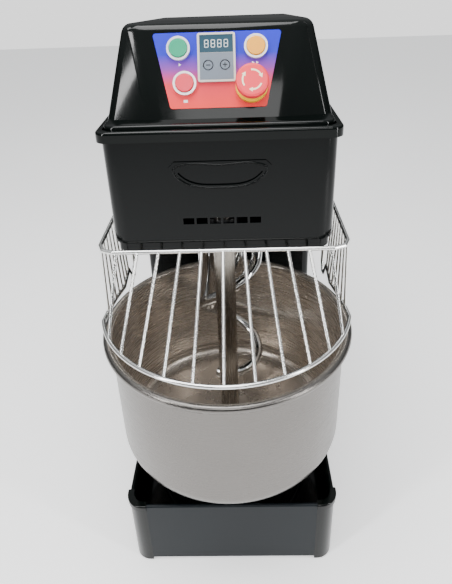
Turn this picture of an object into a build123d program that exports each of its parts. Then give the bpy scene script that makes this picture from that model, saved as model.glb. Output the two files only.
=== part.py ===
from build123d import *
import os
from math import asin, atan2, cos, degrees, pi, radians, sin, sqrt

# Spiral dough mixer. Millimetres, +Z up, front towards -Y.
# The origin is on the floor, under the middle of the machine's overall length.

# Bowl
rim_radius = 187.0
bowl_radius = 176.0
bowl_wall = 2.0
bowl_depth = 210.0
bowl_corner = 28.0
bowl_bottom = 184.0
boss_radius = 22.0
boss_height = 21.0

# Bowl drive
turntable_radius = 66.0
turntable_thick = 9.0
bowl_shaft_low = 24.0
housing_radius = 42.0
housing_bore = 31.0
housing_bottom = 50.0
housing_top = 166.0
bearing_width = 14.0

# Base
base_overhang = 13.0
base_bottom = 8.0
base_top = 134.0
base_front_setback = 130.0
sheet = 3.0
edge_roll = 4.5
corner_radius = 25.0
corner_span = 30.0
corner_bead = 2.5
corner_bead_height = 10.0
deck_bottom = 62.0
splash_ring_radius = 122.0
splash_ring_tube = 4.0
foot_radius = 19.0

# Column and head
column_gap = 9.0
column_depth = 314.0
body_half = 149.0
column_edge = 12.0
head_front_setback = 28.0
head_bottom = 541.0
head_height = 141.0
head_edge = 20.0
floor_plate = 4.0
tray_drop = 14.0
tray_inset = 4.0
lip_overhang = 5.0
lip_height = 14.0
lip_width = 8.5
vent_half = 53.0
vent_windows = 6
vent_up = 31.0
vent_height = 9.0
crescent_half = 65.0
crescent_drop = 27.0
crescent_height = 38.0
louvre_half = 60.0
louvres = 7

# Top cover
cover_height = 129.0
cover_wall = 3.0
cover_gap = 0.6
cover_skirt = 18.0
cover_skirt_corner = 18.0
cover_lean = 51.0
facet_half_low = 81.0
facet_half_top = 104.0
cover_half_low = 144.4
cover_half_top = 121.0
cover_front_inset = 29.0
cover_cheek_low = 8.0
cover_cheek_top = 6.0
cover_rear_inset = 9.0
cover_rear_corner = 12.0
cover_rear_lean = 34.0
cover_rear_drop = 30.0
cover_brow = 11.0
cover_ceiling_drop = 1.5

# Control panel, measured up the sloping facet from its lower edge
panel_rise = 13.0
panel_height = 94.0
panel_half_low = 60.5
panel_half_top = 81.0
panel_thickness = 1.2
panel_corner = 3.5
bezel_radius = 14.75
button_radius = 11.6
button_hole = 11.2
button_travel = 2.5
start_x = 48.5
start_up = 74.0
stop_x = 41.6
stop_up = 30.8
mushroom_radius = 20.0
mushroom_x = 42.3
mushroom_up = 25.0
mushroom_low = 24.0
mushroom_thick = 13.0
mushroom_base_radius = 20.2
timer_half = 23.7
timer_x = -0.9
timer_low = 31.7
timer_high = 91.8
window_low = 67.4
window_high = 89.4
window_half = 21.0
key_radius = 6.2
key_x = 10.5
key_up = 52.0
key_travel = 0.6

# Dough tools
hook_offset = 106.0
hook_radius = 50.0
rod_radius = 9.0
hook_start_drop = 94.0
hook_floor_gap = 39.0
hook_tail_drop = 11.0
hook_tail_angle = 115.0
hub_radius = 28.0
hub_drop = 21.0
hub_length = 101.0
stem_radius = 14.0
stem_x = 34.0
breaker_radius = 15.0
breaker_gap = 30.0
clamp_up = 22.0

# Shafts and transmission
spindle_radius = 17.5
spindle_drop = 76.0
spindle_housing_radius = 45.0
spindle_housing_length = 61.0
spindle_bore = 36.0
spindle_bearing = 17.0
running_gap = 0.05
counter_radius = 12.5
counter_low = 26.0
counter_over = 10.0
bracket_thick = 6.0
upper_bracket_up = 15.0
lower_bracket = 100.0
motor_shaft_radius = 11.0
chain_pitch = 12.7
bowl_teeth = 50
counter_low_teeth = 15
counter_high_teeth = 36
spindle_teeth = 12
tooth_width = 6.6
tooth_reach = 3.2
roller_radius = 3.0
low_chain_z = 37.5
high_chain_gap = 12.0
belt_gap = 36.0
belt_pitch = 15.0
driven_pitch_radius = 121.0
motor_pitch_radius = 20.0
counter_setback = 74.0
motor_setback = 194.0
motor_radius = 75.0
motor_up = 44.0

# Guard
guard_wire = 3.0
bar_wire = 2.2
guard_side_gap = 21.0
guard_front_gap = 13.0
guard_top_drop = 7.0
guard_low_radius = 181.0
guard_rim_gap = 30.0
guard_corner = 22.0
guard_bars = 11
guard_side_bars = 8
guard_pivot_back = 200.0
guard_pivot_up = 89.0
guard_pin_radius = 5.0
guard_side_tuck = 5.0
guard_arm_back = 160.0
eye_radius = 11.0
arc_end = 76.0
weld_ball = 3.15

# Cable gland on the back of the base
gland_x = 100.0
gland_z = 100.0
gland_bore = 5.0
gland_reach = 16.0

# Places worked out from the sizes above
overall_depth = 2 * rim_radius + column_gap + column_depth + gland_reach
bowl_y = rim_radius - overall_depth / 2
base_front = bowl_y - base_front_setback
head_front = bowl_y - head_front_setback
column_front = bowl_y + rim_radius + column_gap
column_rear = column_front + column_depth
spindle_y = bowl_y + hook_offset
counter_y = column_front + counter_setback
motor_y = column_front + motor_setback
rim_top = bowl_bottom + bowl_depth
deck_top = deck_bottom + sheet
bowl_floor = bowl_bottom + bowl_wall
guard_front = head_front - guard_front_gap
guard_pivot_y = bowl_y + guard_pivot_back
guard_arm_y = bowl_y + guard_arm_back
base_half = body_half + base_overhang
head_top = head_bottom + head_height
cover_top = head_top + cover_height
vent_z = head_bottom + vent_up
crescent_top = head_top - crescent_drop
crescent_low = crescent_top - crescent_height
hub_top = head_bottom - hub_drop
hub_bottom = hub_top - hub_length
clamp_z = hub_bottom + clamp_up
hook_start_z = head_bottom - hook_start_drop
hook_turn_drop = hook_start_z - hook_tail_drop - rod_radius - bowl_floor - hook_floor_gap
breaker_foot = bowl_floor + breaker_gap
spindle_low = head_bottom - spindle_drop
spindle_housing_low = head_bottom + floor_plate
spindle_housing_top = spindle_housing_low + spindle_housing_length
high_chain_z = spindle_housing_top + high_chain_gap
belt_z = high_chain_z + belt_gap
counter_top = high_chain_z + counter_over
upper_bracket = head_bottom + upper_bracket_up
motor_top = head_bottom + motor_up
guard_half = body_half + guard_side_gap
guard_side_x = guard_half - guard_side_tuck
guard_top_z = head_bottom - guard_top_drop
guard_low_z = rim_top + guard_rim_gap
guard_pivot_z = head_bottom + guard_pivot_up
cover_screw_heights = (base_top + 30, (base_top + head_bottom) / 2, head_bottom - 30)

# Cover skirt, sloping facet and the panel's own plane
skirt_half = body_half + lip_overhang - lip_width - cover_gap
skirt_front = head_front - lip_overhang + lip_width + cover_gap
skirt_rear = column_rear + 2 - lip_width - cover_gap
skirt_top = head_top + 1 + cover_skirt
facet_low_y = head_front + cover_front_inset
facet_top_y = facet_low_y + cover_lean
facet_tilt = degrees(asin(cover_lean / sqrt(cover_lean ** 2 + (cover_top - skirt_top) ** 2)))
facet_up = Vector(0, sin(radians(facet_tilt)), cos(radians(facet_tilt)))
facet_out = Vector(0, -cos(radians(facet_tilt)), sin(radians(facet_tilt)))
panel_origin = Vector(0, facet_low_y, skirt_top) + facet_up * panel_rise
panel_plane = Plane(origin=panel_origin, x_dir=(1, 0, 0), z_dir=facet_out)
button_places = ((-start_x, start_up), (start_x, start_up), (-stop_x, stop_up))
mushroom_place = (mushroom_x, mushroom_up)
key_places = ((timer_x - key_x, key_up), (timer_x + key_x, key_up))

nodes = {}


def block(x_low, x_high, y_low, y_high, z_low, z_high):
    """A box between its lowest and highest corners."""
    middle = Pos((x_low + x_high) / 2, (y_low + y_high) / 2, (z_low + z_high) / 2)
    return middle * Box(x_high - x_low, y_high - y_low, z_high - z_low)


def disc(radius, z_low, z_high, x=0.0, y=0.0):
    """An upright cylinder."""
    return Pos(x, y, (z_low + z_high) / 2) * Cylinder(radius, z_high - z_low)


def ring(outer, inner, z_low, z_high, x=0.0, y=0.0):
    """An upright tube."""
    return disc(outer, z_low, z_high, x, y) - disc(inner, z_low - 1, z_high + 1, x, y)


def rounded(x_half, y_low, y_high, corner, z_low, z_high):
    """A block with rounded upright edges, symmetrical about X = 0."""
    outline = RectangleRounded(2 * x_half, y_high - y_low, corner)
    return Pos(0, (y_low + y_high) / 2, z_low) * extrude(outline, z_high - z_low)


def rod(start, end, radius):
    """A round bar between two points."""
    a = Vector(*start)
    b = Vector(*end)
    plane = Plane(origin=a, z_dir=(b - a).normalized())
    return plane * extrude(Circle(radius), (b - a).length)


def wire_run(points, radius, ball_radius):
    """A bent wire: round bars with a ball at each bend."""
    run = rod(points[0], points[1], radius)
    for start, end in zip(points[1:], points[2:]):
        run += Pos(*start) * Sphere(ball_radius)
        run += rod(start, end, radius)
    return run


def group(solids):
    """Separate solids kept in one node."""
    return Compound(children=list(solids))


# Base
def side_wall(side):
    """A folded side wall with its top edge rolled."""
    inner = side * (base_half - sheet)
    outer = side * base_half
    y_low = base_front + corner_span
    y_high = column_rear - corner_span
    wall = block(min(inner, outer), max(inner, outer), y_low, y_high, base_bottom, base_top - edge_roll)
    roll_x = side * (base_half - edge_roll)
    roll_z = base_top - edge_roll
    return wall + rod((roll_x, y_low, roll_z), (roll_x, y_high, roll_z), edge_roll)


def end_wall(y_outer, inward):
    """A front or rear wall with a thinner rolled edge."""
    x_end = base_half - corner_span
    y_inner = y_outer + inward * sheet
    roll = 0.7 * edge_roll
    roll_y = y_outer + inward * roll
    wall = block(-x_end, x_end, min(y_outer, y_inner), max(y_outer, y_inner), base_bottom, base_top - roll)
    return wall + rod((-x_end, roll_y, base_top - roll), (x_end, roll_y, base_top - roll), roll)


def corner_posts():
    """The four moulded corners, cut from one rounded frame with a bead round its top."""
    post_wall = sheet + 1
    bead_low = base_top - corner_bead_height + 2
    frame = rounded(base_half, base_front, column_rear, corner_radius, 2, base_top)
    frame -= rounded(base_half - post_wall, base_front + post_wall, column_rear - post_wall,
                     corner_radius - post_wall, 0, base_top + 5)
    bead = rounded(base_half + corner_bead, base_front - corner_bead, column_rear + corner_bead,
                   corner_radius + corner_bead, bead_low, base_top + 2)
    bead = fillet(bead.edges().group_by(Axis.Z)[-1], corner_bead)
    bead -= rounded(base_half - 2 * post_wall, base_front + 2 * post_wall, column_rear - 2 * post_wall,
                    corner_radius - 2 * post_wall, 0, base_top + 5)
    frame += bead
    posts = []
    for x_side in (-1, 1):
        for y_wall, inward in ((base_front, 1), (column_rear, -1)):
            x_mid = x_side * (base_half - corner_span / 2 + corner_bead)
            y_mid = y_wall + inward * (corner_span / 2 - corner_bead)
            reach = corner_span + 2 * corner_bead
            window = Pos(x_mid, y_mid, base_top / 2) * Box(reach, reach, base_top * 2)
            posts.append((frame & window).solid())
    return posts


def base_frame():
    """Flat steel ring that carries the walls and the feet."""
    inset = corner_span + 5
    frame = rounded(base_half - 4.5, base_front + 4.5, column_rear - 4.5, corner_radius - 5, base_bottom, 12)
    window = rounded(base_half - inset, base_front + inset, column_rear - inset, 8, 0, 20)
    return frame - window


def tray_deck():
    """The tray floor, with a splash ring round the bowl drive."""
    deck = block(-base_half + sheet, base_half - sheet, base_front + corner_radius + 5,
                 column_rear - corner_radius - 5, deck_bottom, deck_top)
    deck += Pos(0, bowl_y, deck_top) * Torus(splash_ring_radius, splash_ring_tube)
    front_strip = block(-base_half + corner_span, base_half - corner_span, base_front + sheet,
                        base_front + corner_radius + 5, deck_bottom, deck_top)
    deck += front_strip
    deck -= disc(housing_radius + 1, 0, deck_top + 10, 0, bowl_y)
    deck -= disc(counter_radius + 8, 0, deck_top + 10, 0, counter_y)
    return deck


def feet():
    """Rubber feet, slightly tapered, under the base frame."""
    inset = corner_span - 4
    places = [(x, y) for x in (-base_half + inset, base_half - inset)
              for y in (base_front + inset, column_rear - inset)]
    return [Pos(x, y, base_bottom / 2) * Cone(foot_radius - 1.5, foot_radius, base_bottom) for x, y in places]


def housing(x, y, radius, bore, seats, z_low, z_high, flange_radius, flange_z):
    """A bearing housing: a tube with a flange, and a wider seat at each end."""
    body = disc(radius, z_low, z_high, x, y)
    body += disc(flange_radius, flange_z, flange_z + 9, x, y)
    body -= disc(bore, z_low - 1, z_high + 1, x, y)
    for seat_low, seat_high, seat_radius in seats:
        body -= disc(seat_radius, seat_low, seat_high, x, y)
    return body


def bearing(shaft_radius, outer, z_low, width, x, y):
    """A ball bearing as one ring, with its shields as shallow grooves."""
    body = ring(outer, shaft_radius + running_gap, z_low, z_low + width, x, y)
    shield = ring(outer - 4, shaft_radius + 4, z_low - 1, z_low + 0.8, x, y)
    return body - shield - Pos(0, 0, width + 0.2) * shield


def sprocket(teeth, z_mid, shaft_radius, hub_outer, hub_low, hub_high, x, y):
    """A roller-chain sprocket with pointed teeth and a hub."""
    pitch_radius = chain_pitch / (2 * sin(pi / teeth))
    root = pitch_radius - 4.4
    tip = pitch_radius + tooth_reach
    points = []
    for tooth in range(teeth):
        for part, radius in ((-0.25, root), (-0.09, tip), (0.09, tip), (0.25, root)):
            angle = 2 * pi * (tooth + part) / teeth
            points.append((radius * cos(angle), radius * sin(angle)))
    outline = make_face(Polyline(points, close=True))
    wheel = Pos(x, y, z_mid - tooth_width / 2) * extrude(outline, tooth_width)
    wheel += disc(hub_outer, hub_low, hub_high, x, y)
    return wheel - disc(shaft_radius, hub_low - 5, hub_high + 5, x, y)


def loop_band(y_one, radius_one, y_two, radius_two, half_thick, z_low, z_high):
    """A closed band that runs round two wheels on the machine's middle line."""
    bands = []
    for grow in (half_thick, -half_thick):
        wheels = [Pos(0, y_one) * Circle(radius_one + grow), Pos(0, y_two) * Circle(radius_two + grow)]
        edges = [edge for wheel in wheels for edge in wheel.edges()]
        bands.append(make_face(make_hull(edges)))
    return Pos(0, 0, z_low) * extrude(bands[0] - bands[1], z_high - z_low)


def chain(y_one, teeth_one, y_two, teeth_two, z_mid):
    """A roller chain: two link-plate bands, with rollers on its straight runs."""
    radius_one = chain_pitch / (2 * sin(pi / teeth_one))
    radius_two = chain_pitch / (2 * sin(pi / teeth_two))
    plate_gap = tooth_width / 2 + 0.7
    parts = []
    for side in (-1, 1):
        near = z_mid + side * plate_gap
        far = z_mid + side * (plate_gap + 1.5)
        parts.append(loop_band(y_one, radius_one, y_two, radius_two, 4, min(near, far), max(near, far)))
    span = y_two - y_one
    lean = asin((radius_one - radius_two) / span)
    run = span * cos(lean)
    reach = tooth_reach + roller_radius
    free = sqrt(2 * max(radius_one, radius_two) * reach + reach ** 2) + 0.5
    links = int((run / 2 - free) / chain_pitch)
    pins = []
    for side in (-1, 1):
        for link in range(-links, links + 1):
            along = run / 2 + link * chain_pitch
            x = side * (radius_one * cos(lean) - along * sin(lean))
            y = y_one + radius_one * sin(lean) + along * cos(lean)
            if link % 2 == 0:
                pins.append(disc(roller_radius, z_mid - plate_gap, z_mid + plate_gap, x, y))
    chain_body = parts[0] + parts[1]
    for pin in pins:
        chain_body += pin
    return chain_body


# Bowl and its drive
def bowl():
    """Spun stainless bowl with a rolled rim."""
    bead = (rim_radius - bowl_radius + bowl_wall / 2) / 2
    bead_z = rim_top - bead
    outside = disc(bowl_radius, bowl_bottom, bead_z, 0, bowl_y)
    outside = fillet(outside.edges().group_by(Axis.Z)[0], bowl_corner)
    inside = disc(bowl_radius - bowl_wall, bowl_floor, bead_z + 1, 0, bowl_y)
    inside = fillet(inside.edges().group_by(Axis.Z)[0], bowl_corner - bowl_wall)
    return (outside - inside) + Pos(0, bowl_y, bead_z) * Torus(rim_radius - bead, bead)


def bowl_boss():
    """Domed cap over the bowl's centre."""
    cap = disc(boss_radius, bowl_floor, bowl_floor + boss_height, 0, bowl_y)
    return fillet(cap.edges().group_by(Axis.Z)[-1], boss_radius * 0.6)


def turntable():
    """The flange under the bowl, welded to its shaft."""
    low = bowl_bottom - turntable_thick
    flange = disc(turntable_radius, low, bowl_bottom, 0, bowl_y)
    return flange + disc(spindle_radius, bowl_shaft_low, low, 0, bowl_y)


def turntable_bolts():
    """Bolt heads under the turntable."""
    low = bowl_bottom - turntable_thick
    ring_radius = turntable_radius - 10
    bolts = []
    for turn in range(4):
        angle = radians(45 + 90 * turn)
        x = ring_radius * cos(angle)
        y = bowl_y + ring_radius * sin(angle)
        bolts.append(Pos(x, y, low - 5) * extrude(RegularPolygon(6.5, 6), 5))
    return bolts


def add_base_and_bowl():
    """Store the base, the bowl and the bowl's drive."""
    nodes["base_front_panel"] = end_wall(base_front, 1)
    rear = end_wall(column_rear, -1)
    gland_hole = rod((gland_x, column_rear - 10, gland_z), (gland_x, column_rear + 5, gland_z), 10)
    nodes["base_walls"] = group([side_wall(-1), side_wall(1), rear - gland_hole])
    nodes["base_corner_posts"] = group(corner_posts())
    nodes["base_frame"] = base_frame()
    nodes["tray_deck"] = tray_deck()
    nodes["rubber_feet"] = group(feet())
    nodes["bowl"] = bowl()
    nodes["bowl_boss"] = bowl_boss()
    nodes["bowl_turntable"] = turntable()
    nodes["turntable_bolts"] = group(turntable_bolts())
    lower = (housing_bottom - 1, housing_bottom + bearing_width, housing_bore)
    upper = (housing_top - 4 - bearing_width, housing_top + 1, housing_bore)
    nodes["bowl_bearing_housing"] = housing(0, bowl_y, housing_radius, housing_bore - 5, (lower, upper),
                                            housing_bottom, housing_top, 70, deck_top)
    nodes["bowl_sprocket"] = sprocket(bowl_teeth, low_chain_z, spindle_radius, 28, bowl_shaft_low + 2,
                                      housing_bottom - 5, 0, bowl_y)


# Column, head and cover
def column_shell():
    """Bent sheet: a front wall and two sides, with narrow flanges for the rear cover."""
    shell = rounded(body_half, column_front, column_rear + 40, column_edge, deck_top, head_bottom)
    shell -= rounded(body_half - sheet, column_front + sheet, column_rear + 60, column_edge - sheet,
                     0, head_bottom + 5)
    shell -= block(-200, 200, column_rear, column_rear + 100, 0, head_bottom + 5)
    for side in (-1, 1):
        x_far = side * (body_half - sheet)
        x_near = side * (body_half - 18)
        shell += block(min(x_far, x_near), max(x_far, x_near), column_rear - sheet, column_rear,
                       base_top, head_bottom)
    return shell - block(-200, 200, column_rear - corner_span - 5, column_rear + 1, 0, base_top + 3)


def rear_cover():
    """Flat cover on the back of the column, with louvres."""
    cover = block(-body_half, body_half, column_rear, column_rear + 2, base_top + 4, head_top)
    for row in range(louvres):
        z = head_bottom - 60 - 14 * row
        cover -= block(-louvre_half, louvre_half, column_rear - 1, column_rear + 3, z, z + 5)
    for side in (-1, 1):
        for z in cover_screw_heights:
            x = side * (body_half - 9)
            cover -= rod((x, column_rear - 1, z), (x, column_rear + 3, z), 2.6)
    return cover


def rear_cover_screws():
    """Pan-head screws through the rear cover into the column's flanges."""
    screws = []
    for side in (-1, 1):
        for z in cover_screw_heights:
            x = side * (body_half - 9)
            screw = rod((x, column_rear, z), (x, column_rear + 2, z), 2.5)
            screws.append(screw + rod((x, column_rear + 2, z), (x, column_rear + 4.5, z), 5))
    return screws


def crescent(half, top, low, y_low, y_high):
    """A shape with a flat top edge and a bowed lower edge, standing in the X-Z plane."""
    corner = 7.0
    chin = (top - low) * 0.45
    outline = Polyline((-half, top - corner), (-half + corner, top),
                       (half - corner, top), (half, top - corner))
    bow = Spline((half, top - corner), (half * 0.72, low + chin * 0.45), (0, low),
                 (-half * 0.72, low + chin * 0.45), (-half, top - corner))
    face = make_face(outline.edges() + bow.edges())
    return Plane(origin=(0, y_low, 0), x_dir=(1, 0, 0), z_dir=(0, -1, 0)) * extrude(face, y_low - y_high)


def head_casing():
    """Bent and welded head box, open at the top, with a pressed crescent and a small vent."""
    casing = rounded(body_half, head_front, column_rear, head_edge, head_bottom, head_top)
    casing -= rounded(body_half - sheet, head_front + sheet, column_rear - sheet, head_edge - sheet,
                      head_bottom + floor_plate, head_top + 5)
    casing += crescent(crescent_half, crescent_top, crescent_low, head_front, head_front - 2)
    casing -= crescent(crescent_half - 11, crescent_top - 8, crescent_low + 6, head_front + 1, head_front - 3)
    window = 2 * vent_half / vent_windows
    for slot in range(vent_windows):
        x_mid = -vent_half + window * (slot + 0.5)
        casing -= block(x_mid - window / 2 + 1.5, x_mid + window / 2 - 1.5, head_front - 5, head_front + 10,
                        vent_z - vent_height / 2, vent_z + vent_height / 2)
    casing -= rounded(body_half - 8, column_front + sheet, column_rear - 8, 10,
                      head_bottom - 5, head_bottom + 10)
    casing -= disc(spindle_housing_radius + 0.5, head_bottom - 5, head_bottom + 10, 0, spindle_y)
    casing -= disc(breaker_radius, head_bottom - 5, head_bottom + 10, 0, bowl_y)
    for side in (-1, 1):
        casing -= rod((side * (body_half - 10), guard_pivot_y, guard_pivot_z),
                      (side * (body_half + 10), guard_pivot_y, guard_pivot_z), guard_pin_radius)
    return casing


def head_tray():
    """Shallow tray that closes the underside of the head."""
    half = body_half - tray_inset
    y_low = head_front + tray_inset
    y_high = column_front
    low = head_bottom - tray_drop
    tray = rounded(half, y_low, y_high, head_edge - tray_inset, low, head_bottom)
    tray -= rounded(half - 2, y_low + 2, y_high - 2, head_edge - tray_inset - 2, low + 2, head_bottom + 5)
    tray -= disc(breaker_radius + 0.5, low - 5, low + 10, 0, bowl_y)
    tray -= disc(spindle_radius + 9, low - 5, low + 10, 0, spindle_y)
    return tray


def head_lip():
    """Rolled frame round the top of the head, in which the cover sits."""
    outer_half = body_half + lip_overhang
    y_low = head_front - lip_overhang
    y_high = column_rear + 2
    lip = rounded(outer_half, y_low, y_high, head_edge - 4, head_top, head_top + lip_height)
    lip = fillet(lip.edges().group_by(Axis.Z)[-1], lip_width / 2 - 0.3)
    lip -= rounded(outer_half - lip_width, y_low + lip_width, y_high - lip_width, 10,
                   head_top - 5, head_top + 40)
    return lip


def cover_form(inset):
    """The cover's outer form, or with an inset its hollow."""
    low = head_top + 1
    skirt = rounded(skirt_half - inset, skirt_front + inset, skirt_rear - inset,
                    cover_skirt_corner - inset, low, skirt_top - inset)
    sections = []
    for z, half_front, half_side, front, cheek, rear in (
            (skirt_top - inset, facet_half_low, cover_half_low, facet_low_y, cover_cheek_low,
             column_rear - cover_rear_inset),
            (cover_top - inset, facet_half_top, cover_half_top, facet_top_y, cover_cheek_top,
             column_rear - cover_rear_lean)):
        y_front = front + inset
        y_rear = rear - inset
        side = half_side - inset
        nose = half_front - inset / 2
        corner = side - cover_rear_corner
        corners = [(-nose, y_front), (nose, y_front), (side, y_front + cheek),
                   (side, y_rear - cover_rear_corner), (corner, y_rear), (-corner, y_rear),
                   (-side, y_rear - cover_rear_corner), (-side, y_front + cheek)]
        sections.append(Pos(0, 0, z) * make_face(Polyline(corners, close=True)))
    run = column_rear - cover_rear_lean - facet_top_y
    slope = degrees(atan2(cover_rear_drop, run))
    above = Rot(-slope, 0, 0) * Pos(0, 0, 50) * Box(400, 1600, 100)
    return skirt + (loft(sections, ruled=True) - Pos(0, facet_top_y, cover_top - inset) * above)


def on_panel(x, up, solid):
    """Places a solid made about Z = 0 on the panel, with +Z out of the panel."""
    return panel_plane * (Pos(x, up, 0) * solid)


def post(radius, low, high):
    """A round piece on the panel's own axis, from one height to another."""
    return Pos(0, 0, (low + high) / 2) * Cylinder(radius, high - low)


def panel_cutouts(extra):
    """What the buttons and the timer pass through."""
    cuts = [on_panel(x, up, post(button_hole + extra, -20, 20)) for x, up in button_places]
    cuts.append(on_panel(*mushroom_place, post(button_hole + extra, -20, 20)))
    timer_mid = (timer_low + timer_high) / 2
    timer_tall = timer_high - timer_low
    cuts.append(on_panel(timer_x, timer_mid, Box(2 * timer_half - 4, timer_tall - 4, 40)))
    return cuts


def panel_plate():
    """The printed panel sheet on the sloping facet."""
    outline = make_face(Polyline((-panel_half_low, 0), (panel_half_low, 0), (panel_half_top, panel_height),
                                 (-panel_half_top, panel_height), close=True))
    outline = fillet(outline.vertices(), panel_corner)
    plate = panel_plane * extrude(outline, panel_thickness)
    for cut in panel_cutouts(0.1):
        plate -= cut
    return plate


def top_cover():
    """Moulded cover, hollow and open underneath, with the holes for the controls."""
    outer = cover_form(0)
    brow = [edge for edge in outer.edges() if min(v.Z for v in edge.vertices()) > skirt_top + 40]
    outer = fillet(brow, cover_brow)
    cover = outer - Pos(0, 0, -cover_ceiling_drop) * cover_form(cover_wall)
    cover -= block(-skirt_half + cover_wall, skirt_half - cover_wall, skirt_front + cover_skirt_corner,
                   skirt_rear - cover_skirt_corner, head_top - 5, head_top + 5)
    for cut in panel_cutouts(0.1):
        cover -= cut
    return cover


def add_column_and_head():
    """Store the column, the head and the covers."""
    nodes["column_shell"] = column_shell()
    nodes["rear_cover"] = rear_cover()
    nodes["rear_cover_screws"] = group(rear_cover_screws())
    nodes["head_casing"] = head_casing()
    nodes["head_tray"] = head_tray()
    nodes["head_lip"] = head_lip()
    nodes["top_cover"] = top_cover()
    nodes["control_panel"] = panel_plate()


# Controls
def button_bezel(x, up):
    """A bright ring with a threaded barrel and a nut behind the panel."""
    bezel = post(bezel_radius, panel_thickness, 6) - post(button_radius + 0.5, 2.2, 7)
    bezel += post(button_hole, -16, 2.2)
    bezel -= post(8.5, -17, 3)
    bezel += post(bezel_radius, -9, -5) - post(button_hole - 1, -10, -4)
    return on_panel(x, up, bezel)


def button_cap(x, up):
    """A push button with its plunger, at rest."""
    cap = post(button_radius, 2.5 + button_travel, 8) + post(8, -15, 2.5 + button_travel)
    cap = fillet(cap.edges().group_by(Axis.Z)[-1], 1.2)
    return on_panel(x, up, cap)


def contact_block(x, up):
    """The switch block behind a button."""
    body = Pos(0, 0, -35) * Box(26, 26, 22) + post(13, -24, -11)
    return on_panel(x, up, body - post(button_hole, -24, -10))


def mushroom_base():
    """Yellow ring of the emergency stop."""
    body = post(mushroom_base_radius, panel_thickness, 9) + post(14, 9, 15)
    body += post(button_hole, -16, 2)
    body -= post(8.5, -17, 16)
    body += post(bezel_radius, -9, -5) - post(button_hole - 1, -10, -4)
    return on_panel(*mushroom_place, body)


def mushroom_stem():
    """The plunger, which slides when the stop is pressed."""
    stem = post(8, -15, mushroom_low + 4) + post(5, mushroom_low + 4, mushroom_low + 8)
    return on_panel(*mushroom_place, stem)


def mushroom_head():
    """The red mushroom, which turns on the plunger to release it."""
    head = post(mushroom_radius, mushroom_low, mushroom_low + mushroom_thick)
    head = fillet(head.edges().group_by(Axis.Z)[-1], 3)
    head -= post(8 + running_gap, mushroom_low - 1, mushroom_low + 4 + running_gap)
    head -= post(5 + running_gap, mushroom_low + 3, mushroom_low + 8 + running_gap)
    return on_panel(*mushroom_place, head)


def timer_housing():
    """A framed timer with a window and two key wells."""
    middle = (timer_low + timer_high) / 2
    tall = timer_high - timer_low
    frame = Pos(timer_x, middle, panel_thickness + 1.9) * Box(2 * timer_half, tall, 3.8)
    frame = fillet(frame.edges().filter_by(Axis.Z), 3)
    body = frame + Pos(timer_x, middle, -17) * Box(2 * timer_half - 5, tall - 5, 37)
    window_mid = (window_low + window_high) / 2
    body -= Pos(timer_x, window_mid, 5) * Box(2 * window_half, window_high - window_low, 5)
    for x, up in key_places:
        body -= Pos(x, up, 0) * post(key_radius + 0.4, 2, 8)
    return on_panel(0, 0, body)


def timer_lens():
    """The dark display window."""
    window_mid = (window_low + window_high) / 2
    return on_panel(timer_x, window_mid, Pos(0, 0, 3.5) * Box(2 * window_half, window_high - window_low, 2))


def timer_key(x, up):
    """A small round key that stands a little proud of the timer's face."""
    key = post(key_radius, 2.3 + key_travel, 5.4)
    key = fillet(key.edges().group_by(Axis.Z)[-1], 0.5)
    return on_panel(x, up, key)


def control_tray():
    """Plate across the top of the head that carries the switchgear."""
    return block(-body_half + sheet + 1, body_half - sheet - 1, column_rear - 150, column_rear - 30,
                 head_top - 4, head_top - 1)


def contactors():
    """Two contactors on the tray."""
    bodies = []
    for x in (-50, 10):
        y_mid = column_rear - 100
        body = block(x - 22, x + 22, y_mid - 36, y_mid + 36, head_top - 1, head_top + 34)
        body += block(x - 16, x + 16, y_mid - 22, y_mid + 22, head_top + 34, head_top + 58)
        bodies.append(body)
    return bodies


def control_board():
    """Circuit board on four pillars, with its transformer."""
    board = block(50, 125, column_rear - 140, column_rear - 60, head_top + 9, head_top + 10.6)
    for x in (56, 119):
        for y in (column_rear - 134, column_rear - 66):
            board += disc(3, head_top - 1, head_top + 9, x, y)
    return board + block(70, 105, column_rear - 115, column_rear - 85, head_top + 10.6, head_top + 38)


def add_controls():
    """Store the controls and the switchgear."""
    names = ("start_slow_button", "start_fast_button", "stop_button")
    for name, place in zip(names, button_places):
        nodes[name] = button_cap(*place)
    nodes["button_bezels"] = group(button_bezel(*place) for place in button_places)
    blocks = [contact_block(*place) for place in button_places]
    blocks.append(contact_block(*mushroom_place))
    nodes["contact_blocks"] = group(blocks)
    nodes["estop_base"] = mushroom_base()
    nodes["estop_plunger"] = mushroom_stem()
    nodes["estop_mushroom"] = mushroom_head()
    nodes["timer_housing"] = timer_housing()
    nodes["timer_lens"] = timer_lens()
    nodes["timer_minus_key"] = timer_key(*key_places[0])
    nodes["timer_plus_key"] = timer_key(*key_places[1])
    nodes["control_tray"] = control_tray()
    nodes["switchgear"] = group(contactors() + [control_board()])


# Dough tools and spindle
def hook_path():
    """Centre line of the rod: a straight leg, a falling right-hand turn, then a flatter tail."""
    leg_top = hub_top - 6
    points = [(0, leg_top), (0, leg_top - 22), (0, leg_top - 44)]
    steps = 16
    tail_steps = 5
    for step in range(1, steps + 1):
        turn = step / steps
        ease = turn - sin(2 * pi * turn) / (2 * pi) * 0.25
        points.append((turn * 360, hook_start_z - hook_turn_drop * ease))
    tail_top = hook_start_z - hook_turn_drop
    for step in range(1, tail_steps + 1):
        share = step / tail_steps
        points.append((360 + hook_tail_angle * share, tail_top - hook_tail_drop * sin(share * pi / 2)))
    return [(hook_radius * cos(radians(angle)), spindle_y - hook_radius * sin(radians(angle)), z)
            for angle, z in points]


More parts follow.
